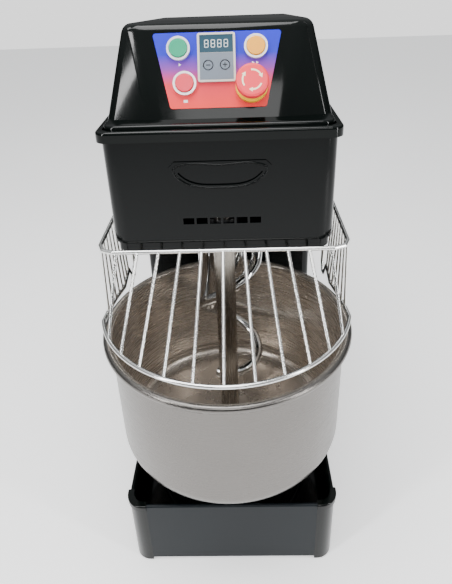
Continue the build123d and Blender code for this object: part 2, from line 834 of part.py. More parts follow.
def spiral_hook():
    """The dough hook: flange, hub, leg, stem and spiral rod, welded into one."""
    path = Spline(hook_path())
    start = Plane(origin=path @ 0, z_dir=path % 0)
    spiral = sweep(start * Circle(rod_radius), path)
    hub = disc(hub_radius, hub_bottom, hub_top, 0, spindle_y)
    hub = fillet(hub.edges().group_by(Axis.Z)[0], 5)
    flange = disc(hook_radius + rod_radius + 2, hub_top - 11, hub_top, 0, spindle_y)
    stem_foot = hook_start_z - hook_turn_drop / 2
    stem = disc(stem_radius, stem_foot, hub_top - 5, -stem_x, spindle_y)
    hook = flange + hub + stem + spiral
    return hook - disc(spindle_radius, spindle_low, hub_top + 1, 0, spindle_y)


def hook_clamp_bolt():
    """Hexagon bolt at the front of the hub."""
    front = spindle_y - hub_radius
    head = Plane(origin=(-10, front + 4, clamp_z), x_dir=(1, 0, 0), z_dir=(0, -1, 0))
    return head * extrude(RegularPolygon(8, 6), 10)


def breaker_bar():
    """The fixed bar that the dough is worked against."""
    bar = disc(breaker_radius, breaker_foot, head_bottom + 34, 0, bowl_y)
    return chamfer(bar.edges().group_by(Axis.Z)[0], 1.5)


def breaker_clamp():
    """Collar that holds the bar on the head's floor plate."""
    return ring(breaker_radius + 7, breaker_radius, head_bottom + floor_plate, head_bottom + 28, 0, bowl_y)


def pulley(pitch_radius, shaft_radius, x, y):
    """A two-groove V-belt pulley."""
    rim = pitch_radius + 3.5
    body = disc(rim, belt_z - belt_pitch, belt_z + belt_pitch, x, y)
    for side in (-1, 1):
        middle = belt_z + side * belt_pitch / 2
        groove = Polyline((rim + 1, -6.8), (rim + 1, 6.8), (pitch_radius - 5, 4.9), (pitch_radius - 5, -4.9),
                          close=True)
        profile = Plane.XZ * make_face(groove)
        body -= Pos(x, y, middle) * revolve(profile, Axis.Z)
    return body - disc(shaft_radius, belt_z - 40, belt_z + 40, x, y)


def driven_pulley():
    """The large pulley, with a dished web on both faces."""
    wheel = pulley(driven_pitch_radius, spindle_radius, 0, spindle_y)
    web = ring(driven_pitch_radius - 16, 34, belt_z + 5, belt_z + belt_pitch + 5, 0, spindle_y)
    lower_web = ring(driven_pitch_radius - 16, 34, belt_z - belt_pitch - 5, belt_z - 5, 0, spindle_y)
    return wheel - web - lower_web


def v_belts():
    """Two belts between the motor pulley and the driven pulley."""
    belts = []
    for side in (-1, 1):
        middle = belt_z + side * belt_pitch / 2
        belts.append(loop_band(spindle_y, driven_pitch_radius, motor_y, motor_pitch_radius, 3.2,
                               middle - 4.2, middle + 4.2))
    return belts


def counter_bracket(z):
    """Shelf on the inside of the column's front wall, for a countershaft bearing."""
    shelf = block(-48, 48, column_front + sheet, counter_y + 34, z, z + bracket_thick)
    shelf += block(-48, 48, column_front + sheet, column_front + sheet + 6, z - 34, z)
    return shelf - disc(counter_radius + 6, z - 40, z + 20, 0, counter_y)


def counter_bearing(z):
    """Flanged bearing unit on a bracket."""
    low = z + bracket_thick
    unit = disc(26, low, low + 16, 0, counter_y)
    for side in (-1, 1):
        unit += block(min(side * 20, side * 42), max(side * 20, side * 42), counter_y - 14, counter_y + 14,
                      low, low + 9)
    return unit - disc(counter_radius + running_gap, low - 1, low + 20, 0, counter_y)


def motor_body():
    """Finned motor frame with its top flange."""
    low = motor_top - 190
    body = disc(motor_radius - 7, low, motor_top - 10, 0, motor_y)
    for fin in range(24):
        angle = 360 / 24 * fin
        rib = Pos(0, motor_y, (low + 12 + motor_top - 22) / 2) * Rot(0, 0, angle)
        body += rib * Pos(motor_radius - 5, 0, 0) * Box(10, 3, motor_top - 34 - low)
    body += disc(motor_radius + 5, motor_top - 10, motor_top, 0, motor_y)
    return body - disc(motor_shaft_radius + running_gap, motor_top - 60, motor_top + 5, 0, motor_y)


def motor_fan_cover():
    """Pressed cowl over the fan, with an air inlet."""
    low = motor_top - 235
    high = motor_top - 190
    cowl = disc(motor_radius - 2, low, high, 0, motor_y)
    cowl = fillet(cowl.edges().group_by(Axis.Z)[0], 8)
    hollow = disc(motor_radius - 4, low + 2, high - 3, 0, motor_y)
    cowl -= fillet(hollow.edges().group_by(Axis.Z)[0], 6)
    for turn in range(8):
        angle = radians(45 * turn)
        cowl -= disc(7, low - 1, low + 5, 40 * cos(angle), motor_y + 40 * sin(angle))
    return cowl


def motor_plate():
    """Plate welded across the head that the motor hangs from."""
    plate = block(-body_half + sheet, body_half - sheet, motor_y - 95, motor_y + 95, motor_top, motor_top + 6)
    return plate - disc(30, motor_top - 5, motor_top + 10, 0, motor_y)


def motor_terminal_box():
    """Connection box on the side of the motor."""
    box = block(motor_radius + 2, motor_radius + 42, motor_y - 32, motor_y + 32,
                motor_top - 130, motor_top - 60)
    box = fillet(box.edges().filter_by(Axis.X), 5)
    return box + block(motor_radius - 12, motor_radius + 2, motor_y - 20, motor_y + 20, motor_top - 115,
                       motor_top - 75) - disc(motor_radius + 0.2, 0, 700, 0, motor_y)


def add_tools_and_transmission():
    """Store the hook, the breaker bar, the spindle and everything that drives them."""
    nodes["spiral_hook"] = spiral_hook()
    nodes["hook_clamp_bolt"] = hook_clamp_bolt()
    nodes["spiral_hook"] -= nodes["hook_clamp_bolt"]
    nodes["breaker_bar"] = breaker_bar()
    nodes["breaker_clamp"] = breaker_clamp()
    nodes["spindle_shaft"] = disc(spindle_radius, spindle_low, belt_z + 24, 0, spindle_y)
    lower = (spindle_housing_low - 1, spindle_housing_low + spindle_bearing, spindle_bore)
    upper = (spindle_housing_top - spindle_bearing, spindle_housing_top + 1, spindle_bore)
    nodes["spindle_housing"] = housing(0, spindle_y, spindle_housing_radius, spindle_bore - 5, (lower, upper),
                                       spindle_housing_low, spindle_housing_top, 58, spindle_housing_low)
    nodes["shaft_bearings"] = group([
        bearing(spindle_radius, housing_bore, housing_bottom, bearing_width, 0, bowl_y),
        bearing(spindle_radius, housing_bore, housing_top - 4 - bearing_width, bearing_width, 0, bowl_y),
        bearing(spindle_radius, spindle_bore, spindle_housing_low, spindle_bearing, 0, spindle_y),
        bearing(spindle_radius, spindle_bore, spindle_housing_top - spindle_bearing, spindle_bearing,
                0, spindle_y)])
    seal_low = head_bottom - tray_drop - 4
    nodes["shaft_seals"] = group([
        ring(spindle_radius + 14, spindle_radius + 0.3, seal_low, seal_low + 4, 0, spindle_y),
        ring(housing_bore, spindle_radius + running_gap, housing_top - 4, housing_top, 0, bowl_y)])
    nodes["driven_pulley"] = driven_pulley()
    nut = Pos(0, spindle_y, belt_z + belt_pitch) * extrude(RegularPolygon(26, 6), 10)
    nodes["spindle_sprocket_and_nut"] = group([
        sprocket(spindle_teeth, high_chain_z, spindle_radius, spindle_radius + 0.6,
                 spindle_housing_top + 2, high_chain_z + 12, 0, spindle_y),
        nut - disc(spindle_radius, belt_z, belt_z + 40, 0, spindle_y)])
    nodes["v_belts"] = group(v_belts())
    nodes["countershaft"] = group([
        disc(counter_radius, counter_low, counter_top, 0, counter_y),
        sprocket(counter_low_teeth, low_chain_z, counter_radius, 21, counter_low + 2, low_chain_z + 10,
                 0, counter_y),
        sprocket(counter_high_teeth, high_chain_z, counter_radius, 24, high_chain_z - 24, high_chain_z + 6,
                 0, counter_y)])
    heights = (lower_bracket, upper_bracket)
    nodes["countershaft_brackets"] = group(counter_bracket(z) for z in heights)
    nodes["countershaft_bearings"] = group(counter_bearing(z) for z in heights)
    nodes["lower_chain"] = chain(bowl_y, bowl_teeth, counter_y, counter_low_teeth, low_chain_z)
    nodes["upper_chain"] = chain(spindle_y, spindle_teeth, counter_y, counter_high_teeth, high_chain_z)
    nodes["motor_body"] = motor_body()
    nodes["motor_covers"] = group([motor_fan_cover(), motor_terminal_box()])
    nodes["motor_plate"] = motor_plate()
    nodes["motor_pulley"] = group([
        disc(motor_shaft_radius, motor_top - 55, belt_z + belt_pitch + 3, 0, motor_y),
        pulley(motor_pitch_radius, motor_shaft_radius, 0, motor_y)])


# Guard
def guard_top_wire():
    """U-shaped top wire with its arms bent up to the pivots."""
    cut = guard_corner * 0.3
    pivot = Vector(guard_half, guard_pivot_y, guard_pivot_z)
    knee = Vector(guard_half, guard_arm_y, guard_top_z)
    arm_end = pivot + (knee - pivot).normalized() * eye_radius
    half = [(arm_end.X, arm_end.Y, arm_end.Z), (guard_half, guard_arm_y, guard_top_z),
            (guard_half, guard_front + guard_corner, guard_top_z),
            (guard_half - cut, guard_front + cut, guard_top_z),
            (guard_half - guard_corner, guard_front, guard_top_z)]
    other = [(-x, y, z) for x, y, z in reversed(half)]
    return wire_run(half + other, guard_wire, guard_wire)


def guard_side_path(side):
    """The lower wire's side: back from the bowl's front arc, over a peak and up a hairpin."""
    arc_x = guard_low_radius * sin(radians(arc_end))
    arc_y = bowl_y - guard_low_radius * cos(radians(arc_end))
    return [(side * arc_x, arc_y, guard_low_z),
            (side * (guard_side_x + 9), bowl_y - 22, guard_low_z),
            (side * (guard_side_x + 4), bowl_y + 15, guard_low_z),
            (side * guard_side_x, bowl_y + 58, guard_low_z - 7),
            (side * guard_side_x, bowl_y + 100, guard_low_z),
            (side * guard_side_x, bowl_y + 122, guard_low_z - 28),
            (side * guard_side_x, bowl_y + 132, guard_low_z - 30),
            (side * guard_side_x, bowl_y + 142, guard_low_z - 16),
            (side * guard_half, guard_arm_y, guard_top_z)]


def guard_lower_wire():
    """Front arc over the rim, with a bent side at each end."""
    arc = Pos(0, bowl_y, guard_low_z) * Torus(guard_low_radius, guard_wire)
    reach = guard_low_radius * cos(radians(arc_end))
    arc &= block(-300, 300, bowl_y - 300, bowl_y - reach, 0, 600)
    wire = arc
    for side in (-1, 1):
        path = guard_side_path(side)
        wire += Pos(*path[0]) * Sphere(weld_ball)
        wire += wire_run(path, guard_wire, weld_ball)
    return wire


def side_height(y):
    """Where the lower wire's side is at a given Y: its X and Z."""
    path = guard_side_path(1)
    for (x_a, y_a, z_a), (x_b, y_b, z_b) in zip(path, path[1:]):
        if y_a <= y <= y_b:
            share = (y - y_a) / (y_b - y_a)
            return x_a + share * (x_b - x_a), z_a + share * (z_b - z_a)
    raise ValueError("no wire at this place")


def guard_front_bars():
    """Bars that fan out from the top wire to the front arc."""
    bars = []
    middle = (guard_bars - 1) / 2
    for number in range(guard_bars):
        share = (number - middle) / middle
        top_x = share * (guard_half - guard_corner - 4)
        angle = radians(share * 61)
        low_x = guard_low_radius * sin(angle)
        low_y = bowl_y - guard_low_radius * cos(angle)
        bars.append(rod((top_x, guard_front, guard_top_z), (low_x, low_y, guard_low_z), bar_wire))
    return bars


def guard_side_bars_on(side):
    """Nearly upright bars along one side."""
    bars = []
    first = guard_front + guard_corner
    last = bowl_y + 96
    for number in range(guard_side_bars):
        y = first + (last - first) * number / (guard_side_bars - 1)
        x, z = side_height(max(y, guard_side_path(1)[0][1]))
        foot_y = max(y, guard_side_path(1)[0][1])
        bars.append(rod((side * guard_half, y, guard_top_z), (side * x, foot_y, z), bar_wire))
    return bars


def guard_bosses():
    """Round eyes on the guard's arms that turn on the pivot pins."""
    eyes = []
    for side in (-1, 1):
        near = (side * (body_half + 4), guard_pivot_y, guard_pivot_z)
        far = (side * (guard_half + 5), guard_pivot_y, guard_pivot_z)
        eye = rod(near, far, eye_radius)
        inner = (side * (body_half - 5), guard_pivot_y, guard_pivot_z)
        eyes.append(eye - rod(inner, (side * (guard_half + 10), guard_pivot_y, guard_pivot_z),
                              guard_pin_radius + running_gap))
    return eyes


def guard_pins():
    """Shoulder pins through the head's sides, with a nut inside and a cap outside."""
    pins = []
    for side in (-1, 1):
        places = [(side * (body_half - sheet - x), guard_pivot_y, guard_pivot_z) for x in (9, 0)]
        end = (side * (guard_half + 5.6), guard_pivot_y, guard_pivot_z)
        cap_end = (side * (guard_half + 9), guard_pivot_y, guard_pivot_z)
        pin = rod(places[0], end, guard_pin_radius) + rod(end, cap_end, 8)
        pins.append(pin + rod(places[0], places[1], 9))
    return pins


def add_guard():
    """Store the guard and its pivots, and the gland."""
    top_wire = guard_top_wire()
    lower_wire = guard_lower_wire()
    bars = guard_front_bars()
    for side in (-1, 1):
        bars += guard_side_bars_on(side)
    bars = [bar - top_wire - lower_wire for bar in bars]
    lower_wire -= top_wire
    nodes["guard_top_wire"] = top_wire
    nodes["guard_lower_wire"] = max(lower_wire.solids(), key=lambda piece: piece.volume)
    nodes["guard_bars"] = group(max(bar.solids(), key=lambda piece: piece.volume) for bar in bars)
    nodes["guard_eyes"] = group(guard_bosses())
    nodes["guard_pins"] = group(guard_pins())
    gland = rod((gland_x, column_rear, gland_z), (gland_x, column_rear + gland_reach, gland_z), 12)
    gland += rod((gland_x, column_rear - 14, gland_z), (gland_x, column_rear, gland_z), 10)
    gland += rod((gland_x, column_rear - 9, gland_z), (gland_x, column_rear - sheet - 1, gland_z), 14)
    nodes["cable_gland"] = gland - rod((gland_x, column_rear - 20, gland_z),
                                       (gland_x, column_rear + gland_reach + 1, gland_z), gland_bore)


add_base_and_bowl()
add_column_and_head()
add_controls()
add_tools_and_transmission()
add_guard()

os.makedirs("parts", exist_ok=True)
for node_name, shape in nodes.items():
    export_step(shape, f"parts/{node_name}.step")
print(len(nodes), "nodes written")
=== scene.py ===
from math import asin, atan2, cos, pi, radians, sin

import bmesh
import bpy
from mathutils import Matrix, Vector


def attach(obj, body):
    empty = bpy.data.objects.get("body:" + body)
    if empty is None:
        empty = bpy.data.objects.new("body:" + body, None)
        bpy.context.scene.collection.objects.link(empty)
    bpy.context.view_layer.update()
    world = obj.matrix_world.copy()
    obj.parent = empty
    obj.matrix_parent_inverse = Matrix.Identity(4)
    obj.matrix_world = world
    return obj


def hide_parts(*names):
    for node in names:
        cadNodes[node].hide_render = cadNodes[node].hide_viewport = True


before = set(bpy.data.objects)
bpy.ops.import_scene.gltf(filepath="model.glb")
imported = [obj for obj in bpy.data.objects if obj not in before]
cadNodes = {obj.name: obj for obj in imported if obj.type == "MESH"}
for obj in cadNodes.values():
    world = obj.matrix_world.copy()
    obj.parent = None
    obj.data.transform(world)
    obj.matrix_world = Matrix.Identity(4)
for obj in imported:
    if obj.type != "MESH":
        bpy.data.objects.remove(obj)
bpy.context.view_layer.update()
mm = 0.001


def linear(hexColour):
    channels = [int(hexColour[i:i + 2], 16) / 255 for i in (0, 2, 4)]
    return tuple(c / 12.92 if c <= 0.04045 else ((c + 0.055) / 1.055) ** 2.4 for c in channels) + (1.0,)


def deselect():
    if bpy.context.mode != "OBJECT":
        bpy.ops.object.mode_set(mode="OBJECT")
    bpy.ops.object.select_all(action="DESELECT")


def activate(obj):
    deselect()
    obj.select_set(True)
    bpy.context.view_layer.objects.active = obj


def applyAll(obj):
    activate(obj)
    bpy.ops.object.transform_apply(location=True, rotation=True, scale=True)


def applyModifiers(obj):
    activate(obj)
    for modifier in list(obj.modifiers):
        bpy.ops.object.modifier_apply(modifier=modifier.name)


def joinAll(objects):
    deselect()
    for obj in objects:
        obj.select_set(True)
    bpy.context.view_layer.objects.active = objects[0]
    bpy.ops.object.join()
    return bpy.context.view_layer.objects.active


def cubeAt(size, place, edge=0.0, segments=3):
    deselect()
    bpy.ops.mesh.primitive_cube_add(size=1, location=place)
    obj = bpy.context.active_object
    obj.scale = size
    applyAll(obj)
    if edge:
        bpy.ops.object.mode_set(mode="EDIT")
        bpy.ops.mesh.select_all(action="SELECT")
        bpy.ops.mesh.bevel(offset=edge, segments=segments, affect="EDGES")
        bpy.ops.object.mode_set(mode="OBJECT")
    return obj


def cylinderAt(radius, depth, place, sides=64, edge=0.0, segments=3):
    deselect()
    bpy.ops.mesh.primitive_cylinder_add(radius=radius, depth=depth, location=place, vertices=sides)
    obj = bpy.context.active_object
    applyAll(obj)
    if edge:
        bpy.ops.object.mode_set(mode="EDIT")
        bpy.ops.mesh.select_mode(type="EDGE")
        bpy.ops.mesh.select_all(action="DESELECT")
        mesh = bmesh.from_edit_mesh(obj.data)
        for rim in mesh.edges:
            rim.select_set(abs(rim.verts[0].co.z - rim.verts[1].co.z) < 1e-7)
        bmesh.update_edit_mesh(obj.data)
        bpy.ops.mesh.bevel(offset=edge, segments=segments, affect="EDGES")
        bpy.ops.object.mode_set(mode="OBJECT")
    return obj


def cutAway(obj, cutters):
    for cutter in cutters:
        cut = obj.modifiers.new("cut", "BOOLEAN")
        cut.operation = "DIFFERENCE"
        cut.object = cutter
        cut.solver = "EXACT"
    applyModifiers(obj)
    for cutter in cutters:
        bpy.data.objects.remove(cutter)


def finishPiece(obj, name, body, material, replaced=(), angle=35):
    applyAll(obj)
    obj.name = name
    obj.data.name = name
    obj.data.materials.clear()
    obj.data.materials.append(material)
    bpy.ops.object.shade_smooth_by_angle(angle=radians(angle))
    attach(obj, body)
    if replaced:
        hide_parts(*replaced)
    deselect()
    return obj


# settings are attributes or socket values, and links are sockets with what feeds them
def addNode(tree, kind, settings=None, links=None):
    node = tree.nodes.new("ShaderNode" + kind)
    for key, value in (settings or {}).items():
        if isinstance(key, int) or key in node.inputs:
            node.inputs[key].default_value = value
        else:
            setattr(node, key, value)
    for socket, source in (links or {}).items():
        tree.links.new(source, node.inputs[socket])
    return node


def nodeOf(material, kind):
    return next(n for n in material.node_tree.nodes if n.type == kind)


# grain is the pattern's size in mm, and depth its relief in mm
def makeMaterial(name, colour, rough, metallic=0.0, coat=0.0, coatRough=0.05, grain=3.0, depth=0.0,
                 tint=0.06, roughSpread=0.05, anisotropic=0.0, stretch=(1.0, 1.0, 1.0), shine=0.5):
    material = bpy.data.materials.new(name)
    material.use_nodes = True
    tree = material.node_tree
    tree.nodes.clear()
    base = linear(colour)
    other = tuple(min(1.0, c * (1 + 4 * tint) + 0.004 * tint) for c in base[:3]) + (1.0,)
    place = addNode(tree, "TexCoord")
    mapping = addNode(tree, "Mapping", {"Scale": stretch}, {"Vector": place.outputs["Object"]})
    noise = addNode(tree, "TexNoise", {"Scale": 1000.0 / grain, "Detail": 3.0},
                    {"Vector": mapping.outputs["Vector"]})
    cloud = addNode(tree, "TexNoise", {"Scale": 14.0}, {"Vector": place.outputs["Object"]})
    blend = addNode(tree, "Mix", {"data_type": "RGBA", "A": base, "B": other}, {"Factor": cloud.outputs["Fac"]})
    spread = addNode(tree, "MapRange",
                     {"To Min": max(0.02, rough - roughSpread), "To Max": min(1.0, rough + roughSpread)},
                     {"Value": noise.outputs["Fac"]})
    shader = addNode(tree, "BsdfPrincipled",
                     {"Metallic": metallic, "Specular IOR Level": shine, "Coat Weight": coat,
                      "Coat Roughness": coatRough, "Anisotropic": anisotropic},
                     {"Base Color": blend.outputs["Result"], "Roughness": spread.outputs["Result"]})
    addNode(tree, "OutputMaterial", links={"Surface": shader.outputs["BSDF"]})
    if depth:
        bump = addNode(tree, "Bump", {"Distance": depth * mm, "Strength": 0.6}, {"Height": noise.outputs["Fac"]})
        tree.links.new(bump.outputs["Normal"], shader.inputs["Normal"])
    return material


# colours that change with height, as printed ink does on a panel
def addGradient(material, low, high, stops):
    tree = material.node_tree
    split = addNode(tree, "SeparateXYZ", links={"Vector": nodeOf(material, "TEX_COORD").outputs["Object"]})
    span = addNode(tree, "MapRange", {"From Min": low, "From Max": high}, {"Value": split.outputs["Z"]})
    ramp = addNode(tree, "ValToRGB", links={"Fac": span.outputs["Result"]})
    elements = ramp.color_ramp.elements
    while len(elements) < len(stops):
        elements.new(0.5)
    for element, (position, colour) in zip(elements, stops):
        element.position = position
        element.color = linear(colour)
    tree.links.new(ramp.outputs["Color"], nodeOf(material, "BSDF_PRINCIPLED").inputs["Base Color"])
    return material


# brush lines run round the upright axis
def addSpin(material):
    tree = material.node_tree
    tangent = addNode(tree, "Tangent", {"direction_type": "RADIAL", "axis": "Z"})
    tree.links.new(tangent.outputs["Tangent"], nodeOf(material, "BSDF_PRINCIPLED").inputs["Tangent"])
    return material


# the inner face is painted a lighter, warmer colour with less metal: painted light standing in for the light that
# falls into the bowl; it is told from the outer one by which way it faces round the axis
def addPaintedLightInnerFace(material, axisY, innerPaintedLightColour, innerPaintedLightMetallic):
    tree = material.node_tree
    shader = nodeOf(material, "BSDF_PRINCIPLED")
    place = nodeOf(material, "TEX_COORD")
    blend = nodeOf(material, "MIX")
    offset = addNode(tree, "VectorMath", {"operation": "SUBTRACT", 1: (0.0, axisY, 0.0)},
                     {0: place.outputs["Object"]})
    flat = addNode(tree, "VectorMath", {"operation": "MULTIPLY", 1: (1.0, 1.0, 0.0)},
                   {0: offset.outputs["Vector"]})
    facing = addNode(tree, "VectorMath", {"operation": "DOT_PRODUCT"},
                     {0: flat.outputs["Vector"], 1: place.outputs["Normal"]})
    outside = addNode(tree, "Math", {"operation": "GREATER_THAN", 1: 0.0001}, {0: facing.outputs["Value"]})
    paintedLightInnerMix = addNode(tree, "Mix", {"data_type": "RGBA", "A": linear(innerPaintedLightColour)},
                   {"Factor": outside.outputs["Value"], "B": blend.outputs["Result"]})
    shine = addNode(tree, "MapRange", {"To Min": innerPaintedLightMetallic, "To Max": shader.inputs["Metallic"].default_value},
                    {"Value": outside.outputs["Value"]})
    tree.links.new(paintedLightInnerMix.outputs["Result"], shader.inputs["Base Color"])
    tree.links.new(shine.outputs["Result"], shader.inputs["Metallic"])
    return material


# baked powder coat: a deep black gloss with faint orange peel
glossCoat = makeMaterial("black gloss powder coat", "020404", 0.12, coat=0.06, coatRough=0.04, grain=1.6,
                         depth=0.015, shine=0.14)
# the same coat with a satin top, which spreads the light softly
satinCoat = makeMaterial("charcoal satin powder coat", "0c1216", 0.36, grain=1.2, depth=0.03, shine=0.18)
# moulded plastic: a wet gloss over slow waves from the mould
mouldedBlack = makeMaterial("black gloss moulded plastic", "030605", 0.10, coat=0.08, coatRough=0.04, grain=30,
                            depth=0.10, shine=0.18)
# spun on a lathe, so its highlights stretch up and down the wall
bowlSteel = makeMaterial("spun brushed stainless steel, inside painted lighter", "6f6c69", 0.27, metallic=1.0, grain=2.0, depth=0.004,
                         anisotropic=0.75, stretch=(0.05, 0.05, 1.0), roughSpread=0.06, tint=0.03)
addSpin(bowlSteel)
# painted light: the bowl's inside gets a lighter, warmer colour than its outside, standing in for light falling
# into it
addPaintedLightInnerFace(bowlSteel, -0.1695, "b9b0a6", 0.75)
# electropolished rod: sharp reflections
polished = makeMaterial("polished stainless rod", "c9c9c8", 0.12, metallic=1.0, grain=6, roughSpread=0.04,
                        tint=0.02)
# nickel-chrome plate on steel wire: silver, with a slight softness
wireChrome = makeMaterial("bright plated wire", "dcdcda", 0.18, metallic=0.95, grain=5, roughSpread=0.04,
                          tint=0.02)
# drawn bar: long fine lines up its length
barSteel = makeMaterial("drawn stainless bar", "8d8880", 0.26, metallic=1.0, grain=1.0, stretch=(1, 1, 0.04),
                        tint=0.04)
# turned and ground steels: grey, with tool marks too fine to show
plainSteel = makeMaterial("machined steel", "9a9a9c", 0.35, metallic=1.0, grain=1.0, depth=0.01)
bearingSteel = makeMaterial("ground bearing steel", "b5b6ba", 0.22, metallic=1.0, grain=1.0)
# sand castings under paint: dull, with a rough skin
paintedIron = makeMaterial("painted cast iron", "33343a", 0.55, grain=2.0, depth=0.1)
motorPaint = makeMaterial("grey motor enamel", "6b7078", 0.45, grain=2.0, depth=0.05)
# rubbers and nylons: matt, with almost no reflection
footRubber = makeMaterial("black foot rubber", "151515", 0.85, grain=1.0, depth=0.05)
beltRubber = makeMaterial("ribbed belt rubber", "1c1c1c", 0.8, grain=0.8, depth=0.05)
nylonBlack = makeMaterial("black gland nylon", "141414", 0.5, grain=1.5, depth=0.02)
nylonGrey = makeMaterial("grey switch nylon", "77777a", 0.5, grain=1.5, depth=0.02)
# plated plastic ring: bright white, with a soft sheen
bezelMetal = makeMaterial("white plated bezel", "e9e7e6", 0.22, metallic=0.35, grain=4, tint=0.02)
# injection-moulded caps: clear strong colours under a thin gloss
redPlastic = makeMaterial("red gloss plastic", "cf0a30", 0.25, coat=0.3, grain=8, tint=0.08)
stopRed = makeMaterial("coral red stop plastic", "e02c3c", 0.4, coat=0.1, grain=8, tint=0.08)
greenPlastic = makeMaterial("green gloss plastic", "078a66", 0.25, coat=0.3, grain=8, tint=0.1)
amberPlastic = makeMaterial("amber gloss plastic", "e89a22", 0.25, coat=0.3, grain=8, tint=0.1)
yellowPlastic = makeMaterial("yellow stop plastic", "e8c22c", 0.4, grain=3, tint=0.03)
timerWhite = makeMaterial("ivory timer plastic", "c9c3b9", 0.4, grain=3, tint=0.02)
# smoked acrylic window: dark teal, with a clear reflection
lensDark = makeMaterial("smoked display lens", "1c3c4a", 0.15, coat=0.4, grain=5)
# printed films and inks: flat, with the least sheen
keyGrey = makeMaterial("slate keypad film", "68727e", 0.38, grain=2, depth=0.01, tint=0.03)
inkDark = makeMaterial("dark printed ink", "0c1018", 0.5, grain=2)
inkWhite = makeMaterial("white printed ink", "f3f1ee", 0.5, grain=2, tint=0.01)
digitGlow = makeMaterial("pale display digit", "c9d0d0", 0.4, grain=2)
creamInk = makeMaterial("cream arrow ink", "f7ecca", 0.45, grain=2, tint=0.02)
# polyester sheet, printed from coral at its foot to blue at its top
panelPrint = makeMaterial("printed polyester panel", "7a4a96", 0.4, coat=0.0, shine=0.2, grain=3, depth=0.005)
addGradient(panelPrint, 0.713, 0.798, [(0.0, "f0403c"), (0.32, "dd3a4a"), (0.52, "86409a"), (0.72, "2a2cb8"),
                                       (1.0, "2226c4")])

nodeLooks = (
    (mouldedBlack, "base_corner_posts head_lip top_cover"),
    (plainSteel,
     "base_frame bowl_sprocket bowl_turntable breaker_clamp control_tray countershaft "
     "countershaft_brackets guard_eyes guard_pins hook_clamp_bolt lower_chain "
     "motor_plate rear_cover_screws spindle_shaft spindle_sprocket_and_nut "
     "turntable_bolts upper_chain"),
    (satinCoat, "base_front_panel rear_cover"),
    (glossCoat, "base_walls column_shell head_casing head_tray tray_deck"),
    (bowlSteel, "bowl"),
    (paintedIron,
     "bowl_bearing_housing countershaft_bearings driven_pulley motor_pulley "
     "spindle_housing"),
    (polished, "bowl_boss spiral_hook"),
    (barSteel, "breaker_bar"),
    (bezelMetal, "button_bezels"),
    (nylonBlack, "cable_gland"),
    (nylonGrey, "contact_blocks estop_plunger switchgear"),
    (panelPrint, "control_panel"),
    (yellowPlastic, "estop_base"),
    (stopRed, "estop_mushroom"),
    (wireChrome, "guard_bars guard_lower_wire guard_top_wire"),
    (motorPaint, "motor_body motor_covers"),
    (footRubber, "rubber_feet shaft_seals"),
    (bearingSteel, "shaft_bearings"),
    (amberPlastic, "start_fast_button"),
    (greenPlastic, "start_slow_button"),
    (redPlastic, "stop_button"),
    (timerWhite, "timer_housing"),
    (lensDark, "timer_lens"),
    (keyGrey, "timer_minus_key timer_plus_key"),
    (beltRubber, "v_belts"))
smoothAngle = radians(32)
for look, names in nodeLooks:
    for nodeName in names.split():
        node = cadNodes[nodeName]
        node.data.materials.clear()
        node.data.materials.append(look)
        activate(node)
        bpy.ops.object.shade_smooth_by_angle(angle=smoothAngle)
deselect()
print("materials done")


# millimetres; the rings are the corners of the raised form, at its foot and at its top
cover = {"skirtHalf": 144.9, "skirtFront": -193.4, "skirtRear": 333.4, "skirtLow": 683.0, "skirtTop": 701.0,
         "skirtCorner": 18.0, "skirtEdge": 4.0, "base": 700.0, "top": 811.0, "ridge": 11.0, "rearDrop": 30.0,
         "middleY": 84.0,
         "lowRing": ((-81, -169), (81, -169), (144.4, -161), (144.4, 319.5), (132.4, 331.5),
                     (-132.4, 331.5), (-144.4, 319.5), (-144.4, -161)),
         "topRing": ((-104, -117.5), (104, -117.5), (121, -111.5), (121, 294.5), (109, 306.5),
                     (-109, 306.5), (-121, 294.5), (-121, -111.5))}


def moveVertex(mesh, vertex, target):
    for other in mesh.verts:
        other.select_set(False)
    vertex.select_set(True)
    bpy.ops.transform.translate(value=target - vertex.co)


def makeFrustum():
    deselect()
    lowRing = cover["lowRing"]
    topRing = cover["topRing"]
    bpy.ops.mesh.primitive_circle_add(vertices=len(lowRing), radius=0.1, fill_type="NGON",
                                      location=(0, 0, cover["skirtTop"] * mm))
    obj = bpy.context.active_object
    applyAll(obj)
    bpy.ops.object.mode_set(mode="EDIT")
    bpy.ops.mesh.select_mode(type="VERT")
    bpy.ops.mesh.select_all(action="SELECT")
    bpy.ops.mesh.extrude_region_move(TRANSFORM_OT_translate={"value": (0, 0, 0.1)})
    mesh = bmesh.from_edit_mesh(obj.data)
    middle = cover["skirtTop"] * mm + 0.05
    low = sorted((v for v in mesh.verts if v.co.z < middle), key=lambda v: turnOf(v.co.x, v.co.y))
    high = sorted((v for v in mesh.verts if v.co.z > middle), key=lambda v: turnOf(v.co.x, v.co.y))
    order = sorted(range(len(lowRing)), key=lambda i: turnOf(lowRing[i][0], lowRing[i][1] - cover["middleY"]))
    depth = topRing[3][1] - topRing[0][1]
    for lowVertex, highVertex, number in zip(low, high, order):
        lowCorner = Vector((*lowRing[number], cover["base"]))
        highCorner = Vector((*topRing[number], cover["top"]))
        fall = cover["rearDrop"] * (highCorner.y - topRing[0][1]) / depth  # the top slopes down to the rear
        moveVertex(mesh, lowVertex, lowCorner * mm)
        moveVertex(mesh, highVertex, highCorner.lerp(lowCorner, fall / (cover["top"] - cover["base"])) * mm)
    bpy.ops.mesh.select_all(action="DESELECT")
    bpy.ops.mesh.select_non_manifold()
    bpy.ops.mesh.edge_face_add()
    bpy.ops.mesh.select_all(action="SELECT")
    bpy.ops.mesh.normals_make_consistent(inside=False)
    bpy.ops.object.mode_set(mode="OBJECT")
    return obj


def turnOf(x, y):
    return (atan2(y, x) + 0.1) % (2 * pi)


